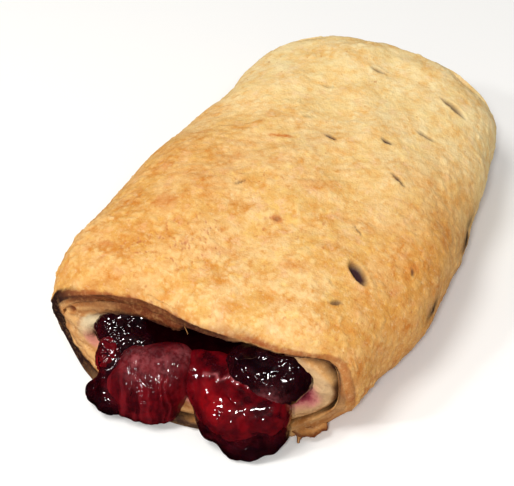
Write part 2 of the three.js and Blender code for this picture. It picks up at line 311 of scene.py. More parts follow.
def wallPoint(angle, t, back, depth, skin=False):
    roughX, roughZ = section(angle, -halfLength if t < 0.5 else halfLength, depth, wrap["mouthNarrowing"])
    first, last = mouthEdge(roughX, roughZ), farEdge(roughX, roughZ)
    y = first + (last - first) * t + back
    fromMouth = np.maximum(1 - (y - first) / wrap["shoulder"], 0)
    fromFar = np.maximum(1 - (last - y) / wrap["shoulder"], 0)
    shoulder = wrap["mouthNarrowing"] * fromMouth**2 + wrap["farNarrowing"] * fromFar**2
    inset = depth + (unevenness(angle, y) if skin else 0)
    x, z = section(angle, y, inset, shoulder)
    far, high, long, across, over = wrap["tuck"]
    tuck = smooth((x - across) / over) * smooth(1.1 - z / high) * smooth(1.2 - (y - first) / long)
    x = x - far * tuck * np.maximum(1 - 0.2 * depth, 0)
    return np.stack([x, y, np.maximum(z, np.minimum(depth, 0))], -1)


def columnAngles():                         # close together on top, where the skin has the most detail
    spacing = wrap["columns"]
    trial = np.linspace(-math.pi, math.pi, 4001)
    x, z = section(trial, 0.0, 0.0)
    step = np.hypot(np.diff(x), np.diff(z))
    height = (z[1:] + z[:-1]) / 2
    pitch = np.where(height < 0.3, spacing["under"], spacing["side"])
    close = np.maximum(smooth((height - 2) / 8), bump(turnFrom((trial[1:] + trial[:-1]) / 2, 176), 0, 24))
    pitch = pitch + (spacing["top"] - pitch) * close
    run = np.concatenate([[0], np.cumsum(step / pitch)])
    count = int(run[-1])
    return np.interp(np.arange(count) * run[-1] / count, run, trial)


def wallRows(angle):                        # the wall's closed outline, row by row: part, points, depth
    rows, count = [], wrap["rows"]
    rim, soft = wrap["rimRound"], 1.5 * wrap["innerRound"]
    opened, turn, outer = gapAt(angle), turnAt(angle), edgeBack(angle)
    inner = innerBack(angle)
    inside, bulge = wrap["wall"], wrap["bulge"]
    at, more, wide, reach = wrap["padding"]
    padding = more * bump(turnFrom(angle, at), 0, wide)
    gap = wrap["gapLeast"] + (wrap["gapOpen"] - wrap["gapLeast"]) * opened
    lead = 2 * bulge * opened
    gapEnd = 0.1 + (wrap["gapDepth"] - 0.1) * opened
    crease = inside * wrap["farTurn"]

    def add(part, t, back, depth, skin=False):
        rows.append((part, wallPoint(angle, t, back, depth, skin), np.broadcast_to(depth, angle.shape)))

    for k in range(count["skin"] + 1):
        t = (k / count["skin"]) ** wrap["rows"]["crowd"]
        add("skin", t, rim * (1 - 2 * t) + outer * (1 - t) ** 4, 0.0, True)
    for k in range(1, count["rim"] + 1):
        a = k / count["rim"] * math.pi / 2
        add("farRim", 1, -rim * (1 - math.sin(a)), rim * (1 - math.cos(a)))
    for k in range(1, count["far"] + 1):
        add("far", 1, -bulge * k / count["far"], rim + (crease - rim) * k / count["far"])
    add("far", 1, -wrap["creaseDepth"], crease + wrap["gapShut"])
    for k in range(1, count["far"] + 1):
        start = crease + 2 * wrap["gapShut"]
        add("far", 1, -2 * bulge, start + (inside - soft / 2 - start) * k / count["far"])
    for k in range(count["hollow"] + 1):
        t = 1 - (k / count["hollow"]) ** (1 / wrap["rows"]["crowd"])
        nearMouth = max(1 - t * wrap["length"] / reach, 0) ** 2
        add("hollow", t, soft * (1 - 2 * t) + inner * (1 - t), inside + padding * nearMouth)
    for k in range(1, count["rim"] + 1):
        a = k / count["rim"] * math.pi / 2
        add("innerRim", 0, inner + soft * (1 - math.sin(a)), inside + padding - soft * (1 - math.cos(a)))
    for k in range(1, count["inner"] + 1):
        share = k / count["inner"]
        start, end = inside + padding - soft, turn + gap + 0.4
        add("inner", 0, inner - 2 * bulge * math.sin(share * math.pi), start + (end - start) * share)
    for k in range(count["gap"] + 1):
        back = inner + lead + (gapEnd - lead) * k / count["gap"]
        add("gap", 0, back, turn + gap * (1 if k == 0 else 0.92))
    for k in range(2 * count["gap"] - 1, -1, -1):
        back = outer + lead + (inner + gapEnd - outer - lead) * k / (2 * count["gap"] - 1)
        add("gap", 0, back, turn + gap * 0.08)
    for k in range(count["outer"] + 1):
        start = turn - 0.35 * opened
        add("outer", 0, outer, start + (rim - start) * k / count["outer"])
    for k in range(count["rim"] - 1, 0, -1):
        a = k / count["rim"] * math.pi / 2
        add("rim", 0, outer + rim * (1 - math.sin(a)), rim * (1 - math.cos(a)))
    return rows


def outwards(grid):                         # a unit normal at each point of a grid that closes both ways
    along = np.roll(grid, -1, 0) - np.roll(grid, 1, 0)
    around = np.roll(grid, -1, 1) - np.roll(grid, 1, 1)
    normal = np.cross(around, along)
    return normal / (np.linalg.norm(normal, axis=-1, keepdims=True) + 1e-9)


skin = {
    "blisters": [(2.9, 0.34, 0.6), (1.7, 0.20, 0.55)],      # cell size, height, share of the cells that rise
    "blisterFade": (-26, 14),                               # they thin out round here, this far to each side
    "ripple": (0.10, 1.3),                                  # height, size
    "swell": (0.28, 6.0),
    "streak": (0.16, 1.1, 5.0, 27.6),                       # height, width, length, turn
    "cracks": [(-10.5, -34, 8), (-20, -40, 5), (1, -22, 3)],    # across, along, reach
    "crackLine": (3.4, 0.035, 0.12),                        # size of the pattern, width, depth
    "cut": (0.16, 0.2, 0.45, 2.9),                          # layers, crumb and waves, the waves' size
    "pits": [                                               # angle, depth, size, deep
        (170, 4.3, 1.0, 0.7), (158, 6.0, 0.5, 0.3), (12, 5.0, 0.5, 0.3), (-12, 4.6, 0.6, 0.3),
    ],
    "scorches": [                                           # across, along, long, wide, turn, strength
        (-7.5, 3.5, 7.7, 1.3, 16, 1.0), (-20.6, -25.5, 8.0, 5.0, 30, 0.55),
        (-27.3, -39.5, 5.0, 3.6, 20, 0.6), (-27.2, -15.2, 5.0, 3.0, 60, 0.4),
        (-29.3, -22.8, 4.0, 2.4, 70, 0.4), (3.6, -20.3, 3.4, 2.4, 0, 0.8),
        (33.0, -15.0, 4.0, 1.8, 70, 0.6), (12.5, -30.0, 7.0, 4.0, 40, 0.35),
        (-4.0, -33.0, 8.0, 3.2, 15, 0.35), (6.0, -8.0, 9.0, 4.5, 25, 0.3), (-14.0, -8.0, 7.0, 4.0, 35, 0.3),
    ],
    "slits": [                                              # across, along, long, wide, deep, turn, darkness
        (24.3, -24.3, 5.2, 2.5, 1.3, -29, 1.0),
        (23.7, -33.4, 2.4, 1.1, 0.5, 42, 0.75),
        (21.5, 34.9, 7.0, 1.5, 0.7, -19, 0.75),
        (20.3, 21.2, 4.6, 1.1, 0.4, -1, 0.6),
        (14.1, 13.0, 2.9, 1.0, 0.5, -9, 0.9),
        (2.5, 8.2, 3.0, 1.0, 0.5, -15, 0.95),
        (21.1, 3.2, 4.2, 0.7, 0.5, -22, 0.85),
        (1.2, 37.3, 3.8, 1.1, 0.4, -4, 0.6),
        (-5.4, 12.9, 2.4, 0.6, 0.3, 22, 0.35),
        (-6.6, 26.2, 3.0, 0.8, 0.3, 10, 0.3),
        (19.5, -14.4, 3.6, 0.4, 0.3, -32, 0.6),
        (-8.2, -14.4, 2.6, 0.65, 0.25, 54, 0.6),
        (3.6, -20.3, 1.7, 1.2, 0.2, 20, 0.4),
        (33.2, -16.0, 1.5, 0.6, 0.3, -60, 0.8),
    ],
}


def rowsOf(parts, grid, *names):
    return np.isin(parts, names)[:, None] & np.ones(grid.shape[:2], bool)


def pastryRelief(grid, normal, parts, depths, angle):
    isSkin = rowsOf(parts, grid, "skin", "rim", "farRim")
    isFace = rowsOf(parts, grid, "outer", "inner", "innerRim", "far")
    x, y, z = grid[..., 0], grid[..., 1], grid[..., 2]
    upper = smooth((z - 1.5) / 6)
    none = np.zeros(grid.shape[:2])
    front = smooth((skin["blisterFade"][0] + skin["blisterFade"][1] - y) / (2 * skin["blisterFade"][1]))
    patch = smooth(0.5 + 1.6 * softNoise(grid, 9, 3.1))
    crowd = np.clip(0.3 + 0.8 * np.maximum(front * (0.55 + 0.45 * patch), 0.5 * patch), 0, 1)
    wander = np.stack([softNoise(grid, 1.5, shift) for shift in (1.7, 5.3, 8.9)], -1)
    lift, dome, network = none, none, none
    for size, height, share in skin["blisters"]:
        near, far, chance = cells(grid + 0.55 * size * wander, size, size)
        radius = 0.42 + 0.25 * chance
        rise = smooth((radius - near) / 0.36) * smooth((far - near) / 0.3) * (chance < share)
        lift = lift + rise * height * crowd * (0.5 + chance)
        dome = np.maximum(dome, rise * crowd)
        network = np.maximum(network, (1 - smooth((far - near) / 0.3)) * crowd)
    ripple = softNoise(grid, skin["ripple"][1]) + 0.5 * softNoise(grid, skin["ripple"][1] / 2.3, 9.0)
    swell = softNoise(grid, skin["swell"][1], 5.0) + 0.5 * softNoise(grid, skin["swell"][1] / 2.1, 8.0)
    height, width, length, turn = skin["streak"]
    along, across = turned(x, y, turn)
    warped = np.stack([along / length, across / width, z / width], -1)
    streak = softNoise(warped + 0.3 * wander, 1.0, 2.0)
    middle = smooth((y + 34) / 18) * smooth((32 - y) / 25)
    slitDepth, slitDark = none, none
    for atX, atY, long, wide, deep, turn, dark in skin["slits"]:
        run, side = turned(x - atX, y - atY, turn)
        off = np.hypot(run / (long / 2), side / (wide / 2)) + 0.12 * ripple
        slitDepth = slitDepth + deep * (smooth((1.25 - off) / 0.6) - 0.14 * bump(off, 1.5, 0.35)) * (z > 10)
        slitDark = np.maximum(slitDark, dark * smooth((1.4 - off) / 0.8) * (z > 10))
    cracks = none
    size, thin, cleft = skin["crackLine"]
    for atX, atY, reach in skin["cracks"]:
        near = np.hypot(x - atX, y - atY) / reach
        line = np.abs(softNoise(grid + wander, size, atX)) / thin
        cracks = np.maximum(cracks, (1 - smooth(line)) * smooth((1.25 - near) / 0.5) * (z > 14))
    scorch = none
    for atX, atY, long, wide, turn, strength in skin["scorches"]:
        run, side = turned(x - atX, y - atY, turn)
        off = np.hypot(run / long, side / wide) * 2
        spot = smooth((1.15 - off + 0.45 * ripple + 0.35 * swell) / 0.7)
        scorch = np.maximum(scorch, strength * spot * (z > 8))
    outer = lift + skin["ripple"][0] * ripple + skin["swell"][0] * swell + height * streak * middle
    outer = outer - slitDepth - cleft * cracks
    layers = softNoise(np.stack([depths * 1.1, angle * 9 + 0 * depths, 0.08 * y], -1), 1.0, 4.0)
    crumb = softNoise(grid, 0.9, 7.0)
    pit = none
    for atAngle, atDepth, size, deep in skin["pits"]:
        away = np.hypot(turnFrom(angle, atAngle) * math.radians(1) * 26, depths - atDepth) / size
        pit = pit + deep * (smooth((1 - away) / 0.6) - 0.5 * bump(away, 1.15, 0.28))
    layered, crumbly, wavy, size = skin["cut"]
    cut = layered * layers + crumbly * crumb + wavy * softNoise(grid, size, 1.0) - pit
    total = np.where(isSkin, outer * upper, 0) + np.where(isFace, cut, 0)
    shut = rowsOf(parts, grid, "gap") * (1 - gapAt(angle))
    total = np.where(isSkin | isFace, total, shut * cut + (1 - shut) * 0.12 * crumb)
    total = np.where((z < 0.6) & isSkin, 0, total)
    moved = grid + normal * total[..., None]
    moved[..., 2] = np.maximum(moved[..., 2], 0)
    masks = {
        "dome": dome, "network": network, "slit": slitDark, "streak": (0.5 + streak) * middle,
        "crack": cracks, "scorch": scorch,
    }
    masks = {key: value * isSkin for key, value in masks.items()}
    masks["layer"] = np.clip(0.5 + 1.3 * layers, 0, 1) * ~isSkin
    # painted shade in the pits of the cut face
    masks["pit"] = np.clip(pit * 2, 0, 1) * isFace
    return moved, masks


bake = {                                    # angles in degrees round the section: 0 right, 90 up, -90 down
    "left": 172,                            # the middle of the thick left wall
    "line": (0.25, 0.25, 0.8),              # brown line along the edge: wide, more above, more at the left
    "lineMore": [(30, 24, 0.5), (-2, 24, 1.3), (64, 20, 1.9)],      # at angle, spread, wider
    "lineSoft": (0.6, 1.8, 64, 20),         # how softly it ends, and more: at angle, spread
    "toasted": (3.5, 0.2),                  # reach behind the line, strength
    "underside": 3.5,                       # browned up to this height
    "stains": [                             # along, up, long, high, slope, ragged
        (9.5, 11.6, 5.5, 2.6, 0.2, 1.5), (-15.5, 13.5, 3.0, 1.6, 0, 0),
    ],
    "charEdge": 1.6,                        # reach on the skin
    "charLeft": (2.1, 2.3),                 # depth on the cut at the left, and more below
    "charAndShadeLow": (2.0, 1.6, -92, 24),         # dark band low on the cut, partly burnt, partly painted shade: depth below, and more: at angle, spread
    "deepShadeUnderLip": (5.6, 2.6),                  # painted shade deep under the lip: starts this deep, and nearer at the right
    "cream": 6.4,                           # raw dough at the left starts this deep
    "pale": (8, 26, 0.45),                  # pale dough at the right: angle, spread, strength
    "soaks": [                              # at angle, spread, from depth, over, ragged, strength
        (2, 17, 3.8, 5.0, 0.7, 1.0), (188, 11, 7, 2.2, 1.0, 0.4),
    ],
    "soakLow": (5.5, 2.5, 0.7),             # from depth, over, strength
}


def bakePlaces(grid, parts, depths, angle):     # where each point of the pastry lies
    x, y, z = grid[..., 0], grid[..., 1], grid[..., 2]
    around = angle[None, :] + 0 * x
    degrees, fromLeft = np.degrees(around), turnFrom(around, bake["left"])
    opened, isGap = gapAt(around), rowsOf(parts, grid, "gap")
    shut = isGap * (1 - opened)             # a shut gap looks like the face round it
    isInner = np.maximum(rowsOf(parts, grid, "inner", "innerRim"), shut)
    isTop = smooth((degrees - 40) / 20) * smooth((z - 15) / 4)
    # the inner turn's top face under the lip gets painted shade, a little less of it where light reaches in
    # at the left
    lit = 1 - 0.35 * bump(fromLeft, -10, 9) * smooth((8 - depths) / 2)
    return SimpleNamespace(
        x=x, y=y, z=z, depths=depths, around=around, degrees=degrees, fromLeft=fromLeft, opened=opened,
        fromLip=y - mouthEdge(x, z) - edgeBack(around),
        isSkin=rowsOf(parts, grid, "skin", "rim", "farRim"), isHollow=rowsOf(parts, grid, "hollow"),
        isGap=isGap,
        isOuter=np.maximum(rowsOf(parts, grid, "outer"), shut), isInner=isInner,
        isTop=isTop, underLipShade=isInner * isTop * lit,
        isLow=smooth((-30 - degrees) / 15) * smooth((degrees + 160) / 20),
        wander=softNoise(grid, 3.2, 6.0), fine=softNoise(grid, 0.9, 11.0))


# baked brown along the lip line, the edges and the underside, with painted shade under the lip and low on the
# right
def browningAndShade(at):
    plain, above, left = bake["line"]
    wide = plain + above * smooth((at.degrees - 85) / 30) + left * bump(at.fromLeft, -3, 12)
    for angle, spread, more in bake["lineMore"]:
        wide = wide + more * bump(at.degrees, angle, spread)
    soft, softer, angle, spread = bake["lineSoft"]
    soft = soft + softer * bump(at.degrees, angle, spread)
    line = smooth((wide + 0.4 * at.wander + 0.3 * at.fine - at.fromLip) / soft)
    line = line * (0.5 + 0.5 * np.maximum(smooth((at.degrees - 60) / 40), bump(at.degrees, 40, 30)))
    reach, strength = bake["toasted"]
    toasted = strength * smooth((reach + 2.5 * at.wander + at.fine - at.fromLip) / 4)
    under = smooth((bake["underside"] + at.wander - at.z) / 4)
    # low on the right side: partly baked brown, partly painted shade
    lowRightBrowningAndShade = smooth((12 + 2 * at.wander - at.z) / 11) * smooth((at.x - 20) / 10)
    onSkin = np.maximum.reduce([line * 0.9, toasted, under * 0.8, lowRightBrowningAndShade * 0.8]) * at.isSkin
    # painted shade on the outer turn's cut face under the lip, and browner round the right
    outer = at.isOuter * np.maximum(at.isTop * 0.95, bump(turnFrom(at.around, 8), 0, 34) * 0.45)
    return np.maximum.reduce([onSkin, at.underLipShade, outer, at.isInner * at.isLow * 0.4])


# burnt dark at the left and along the edges, with painted shade deep under the lip and in the gap at the
# bottom of the mouth
def charringAndShade(at):
    least, more = bake["charLeft"]
    thick = least + more * smooth(at.fromLeft / 10) + 0.4 * at.wander
    left = np.minimum(1.3 * bump(at.fromLeft, 12, 30), 1) * smooth((at.fromLeft + 17) / 14)
    edge = smooth((bake["charEdge"] + 0.9 * at.wander + 0.4 * at.fine - at.fromLip) / 0.9) * at.isSkin
    least, more, angle, spread = bake["charAndShadeLow"]
    low = at.isOuter * smooth((least + more * bump(at.degrees, angle, spread) - at.depths) / 0.6)
    # the dark band at the bottom of the mouth: partly burnt, partly painted shade in the gap
    notchCharAndShade = bump(at.degrees, -86, 20) * np.maximum(at.isGap, at.isInner * smooth((4.3 - at.depths) / 0.7))
    # painted shade under the lip, darker deeper in from the skin
    start, nearer = bake["deepShadeUnderLip"]
    start = start - nearer * smooth((116 - at.degrees) / 22) + 0.5 * at.wander
    stain = 0
    for along, up, long, high, slope, ragged in bake["stains"]:
        spot = bump(at.y, along, long) * bump(at.z, up + slope * (at.y - along), high)
        stain = np.maximum(stain, spot * smooth(1.1 + ragged * at.wander))
    return np.maximum.reduce([
        left * edge, left * at.isOuter * smooth((thick - at.depths) / 0.6),
        stain * smooth((at.x - 30) / 3) * at.isSkin,
        at.isLow * (low + edge * 0.7) * 0.95, at.isLow * notchCharAndShade * 0.95,
        # painted shade on the outer turn's cut face under the lip, more towards the right
        at.isOuter * at.isTop * smooth((122 - at.degrees) / 24) * 0.55,
        at.underLipShade * smooth((at.depths - start) / 2.2) * 0.9,
    ])


def soaking(at):                            # cherry juice in the dough
    soaked = 0
    for angle, spread, start, over, ragged, strength in bake["soaks"]:
        here = bump(turnFrom(at.around, angle), 0, spread)
        soaked = np.maximum(soaked, strength * here * smooth((at.depths - start - ragged * at.wander) / over))
    start, over, strength = bake["soakLow"]
    low = at.isLow * smooth((at.depths - start) / over) * (1 - 0.8 * bump(at.degrees, -86, 13))
    nearWall = bump(at.fromLeft, 2, 26) * smooth((9 - at.fromLip) / 4)
    within = at.isHollow * (0.35 + 0.65 * smooth((at.fromLip - 2.5) / 6)) * (1 - 0.85 * nearWall)
    return np.maximum(at.isInner * np.maximum(soaked, strength * low), within)


def gapShade(at):                           # dark in the spiral gap and along its edges
    wide = wrap["gapLeast"] + (wrap["gapOpen"] - wrap["gapLeast"]) * at.opened
    crease = np.abs(at.depths - turnAt(at.around) - wide / 2) - wide / 2
    edges = np.maximum(at.isOuter, at.isInner * smooth((-14 - at.degrees) / 14))
    crease = smooth((0.5 + 0.6 * bump(at.degrees, 34, 26) - crease) / 0.5) * edges
    start = 0.5 + 1.8 * smooth((-4 - at.degrees) / 12) - 0.5 * bump(at.degrees, 22, 24)
    dark = 0.35 + 0.65 * np.maximum(smooth((at.fromLip - 3) / 3), bump(at.degrees, 20, 30))
    return np.maximum(crease * 0.85, at.isGap * smooth((at.fromLip - start) / 0.9) * dark) * at.opened


def pastryMasks(grid, parts, depths, angle):
    at = bakePlaces(grid, parts, depths, angle)
    cream = bump(at.fromLeft, -2, 11) * smooth((at.depths - bake["cream"] - 0.6 * at.fine) / 1.6)
    angle, spread, strength = bake["pale"]
    pale = strength * bump(at.degrees, angle, spread) * at.isInner
    # the right side darker and browner, partly baked brown, partly painted shade; a little darker on the left
    # near the mouth
    rightBrowningAndShade = smooth((at.x - 18) / 16) * smooth((30 - at.y) / 30)
    leftSide = 0.6 * smooth((4 - at.x) / 24) * smooth((18 - at.y) / 28)
    return {
        "cut": np.where(at.isSkin, 0.0, 1.0),
        "brownedAndShaded": browningAndShade(at),
        "charredAndShaded": charringAndShade(at),
        "creamy": np.maximum(cream * np.maximum(at.isInner, at.isHollow), pale),
        "juice": soaking(at),
        # painted shade in the spiral gap
        "gap": gapShade(at),
        "side": np.maximum(rightBrowningAndShade, leftSide) * at.isSkin,
    }


crustTints = {                              # near the mouth, and at the paler far end
    "golden": ((226, 181, 104), (242, 213, 150)),
    "orange": ((210, 140, 60), (232, 180, 102)),
    "rosy": ((238, 190, 144), (244, 208, 160)),
    "sunny": ((244, 202, 112), (246, 220, 150)),
    "pale": ((240, 204, 146), (246, 224, 172)),
}
crustMarks = {
    # side: the crust's sides darker and browner, at the right partly baked colour, partly painted shade
    "side": (238, 196, 112), "dark flecks": (190, 118, 58), "pale flecks": (250, 224, 176),
    "spots": (184, 96, 44), "scorch": (200, 116, 50), "crack": (178, 92, 56),
    # these brown and burnt colours also give the painted shade under the lip and low in the mouth
    "brownedAndShaded": (140, 66, 28), "charredAndShaded": (42, 18, 12), "slit": (62, 38, 42),
}
doughTints = {
    "plain": (178, 118, 62), "layers": (214, 162, 100), "flecks": (228, 186, 132), "creamy": (212, 190, 152),
    # pit: painted shade in the pits of the cut face
    "pit": (120, 62, 24), "brownedAndShaded": (98, 42, 10), "charredAndShaded": (42, 14, 11),
    # gap: painted shade in the spiral gap
    "pink": (214, 128, 124), "red": (160, 42, 68), "soaked": (84, 8, 20), "gap": (50, 12, 6),
}


def crustMaterial():
    material, tree, shader = newMaterial("bakedCrust", Roughness=0.6, Specular_IOR_Level=0.2)
    broad, patchy, tiny = grain(tree, 8, 3), grain(tree, 2.4, 4, 0.6), grain(tree, 0.35, 2)
    speck = grain(tree, 0.9, 3, 0.6)
    place = tree.nodes.new("ShaderNodeTexCoord")
    axes = tree.nodes.new("ShaderNodeSeparateXYZ")
    tree.links.new(place.outputs["Object"], axes.inputs[0])
    rear = span(tree, axes.outputs["Y"], -0.024, 0.036)
    tints = {name: mix(tree, rear, colour(*near), colour(*far)) for name, (near, far) in crustTints.items()}

    base = mix(tree, times(tree, span(tree, broad, 0.40, 0.60), 0.6), tints["golden"], tints["pale"])
    warm = times(tree, span(tree, grain(tree, 6, 5, 0.62), 0.44, 0.70), 0.5)
    warm = maths(tree, "ADD", warm, times(tree, span(tree, patchy, 0.48, 0.72), 0.5))
    warm = maths(tree, "ADD", warm, times(tree, mask(tree, "network"), 0.42))
    warm = maths(tree, "ADD", warm, times(tree, mask(tree, "streak"), 0.15))
    warm = maths(tree, "SUBTRACT", warm, times(tree, mask(tree, "dome"), 0.4), True)
    rosy = times(tree, span(tree, grain(tree, 3.1, 3, 0.6), 0.54, 0.70), 0.45)
    sunny = times(tree, span(tree, grain(tree, 2.3, 3, 0.6), 0.46, 0.30), 0.4)
    pale = times(tree, span(tree, patchy, 0.50, 0.26), 0.5)
    pale = maths(tree, "MAXIMUM", pale, times(tree, mask(tree, "dome"), 0.5))
    for factor, name in ((warm, "orange"), (rosy, "rosy"), (sunny, "sunny"), (pale, "pale")):
        base = mix(tree, factor, base, tints[name])

    # the sides darker and browner: at the right partly baked colour, partly painted shade
    base = mix(tree, times(tree, mask(tree, "side"), 0.55), base, colour(*crustMarks["side"]), "MULTIPLY")
    calm = times(tree, maths(tree, "SUBTRACT", 1.25, rear, True), 0.3)
    # brown and burnt masks: real baking colour, and painted shade under the lip and low in the mouth
    brownedAndShaded = times(tree, mask(tree, "brownedAndShaded"), span(tree, speck, 0.15, 0.6, 0.6, 1.0))
    charredAndShaded = times(tree, mask(tree, "charredAndShaded"), span(tree, speck, 0.2, 0.55, 0.75, 1.0))
    marks = {
        "dark flecks": times(tree, span(tree, speck, 0.52, 0.76), calm),
        "pale flecks": times(tree, span(tree, speck, 0.46, 0.24), calm),
        "spots": times(tree, span(tree, grain(tree, 1.7, 2, 0.7), 0.66, 0.76), 0.45),
        "scorch": times(tree, mask(tree, "scorch"), span(tree, speck, 0.2, 0.6, 0.55, 1.0)),
        "crack": times(tree, mask(tree, "crack"), 0.7),
        "brownedAndShaded": brownedAndShaded,
        "charredAndShaded": charredAndShaded,
        "slit": mask(tree, "slit"),
    }
    for name, factor in marks.items():
        base = mix(tree, factor, base, colour(*crustMarks[name]))

    inside = mix(tree, mask(tree, "layer"), colour(*doughTints["plain"]), colour(*doughTints["layers"]))
    soaked = times(tree, mask(tree, "juice"), span(tree, speck, 0.3, 0.65, 0.8, 1.0))
    stages = {
        "flecks": span(tree, speck, 0.5, 0.7, 0, 0.5),
        "creamy": mask(tree, "creamy"),
        # painted shade in the pits
        "pit": mask(tree, "pit"),
        "brownedAndShaded": brownedAndShaded,
        "charredAndShaded": charredAndShaded,
        "pink": span(tree, soaked, 0.04, 0.45, 0, 0.8),
        "red": span(tree, soaked, 0.35, 0.7, 0, 0.9),
        "soaked": span(tree, soaked, 0.5, 0.95),
        # painted shade in the spiral gap
        "gap": mask(tree, "gap"),
    }
    for name, factor in stages.items():
        inside = mix(tree, factor, inside, colour(*doughTints[name]))
    tree.links.new(mix(tree, mask(tree, "cut"), base, inside), shader.inputs["Base Color"])
    tree.links.new(span(tree, speck, 0.3, 0.7, 0.5, 0.72), shader.inputs["Roughness"])
    relief(tree, shader, maths(tree, "ADD", times(tree, speck, 0.6), times(tree, tiny, 0.4)), 0.32)
    return material


def makePastry(material):
    angle = columnAngles()
    rows = wallRows(angle)
    parts = np.array([row[0] for row in rows])
    grid = np.array([row[1] for row in rows])
    depths = np.array([row[2] for row in rows])
    normal = outwards(grid)
    top = np.unravel_index(np.argmax(grid[..., 2]), grid.shape[:2])
    if normal[top][2] < 0:
        normal = -normal
    masks = pastryMasks(grid, parts, depths, angle)
    moved, fine = pastryRelief(grid, normal, parts, depths, angle[None, :])
    masks.update(fine)
    piece = makePiece("pastry", moved, ringFaces(len(rows), len(angle), True), masks, material)
    print("pastry", len(rows), "rows,", len(angle), "columns")
    return piece


# The fruit

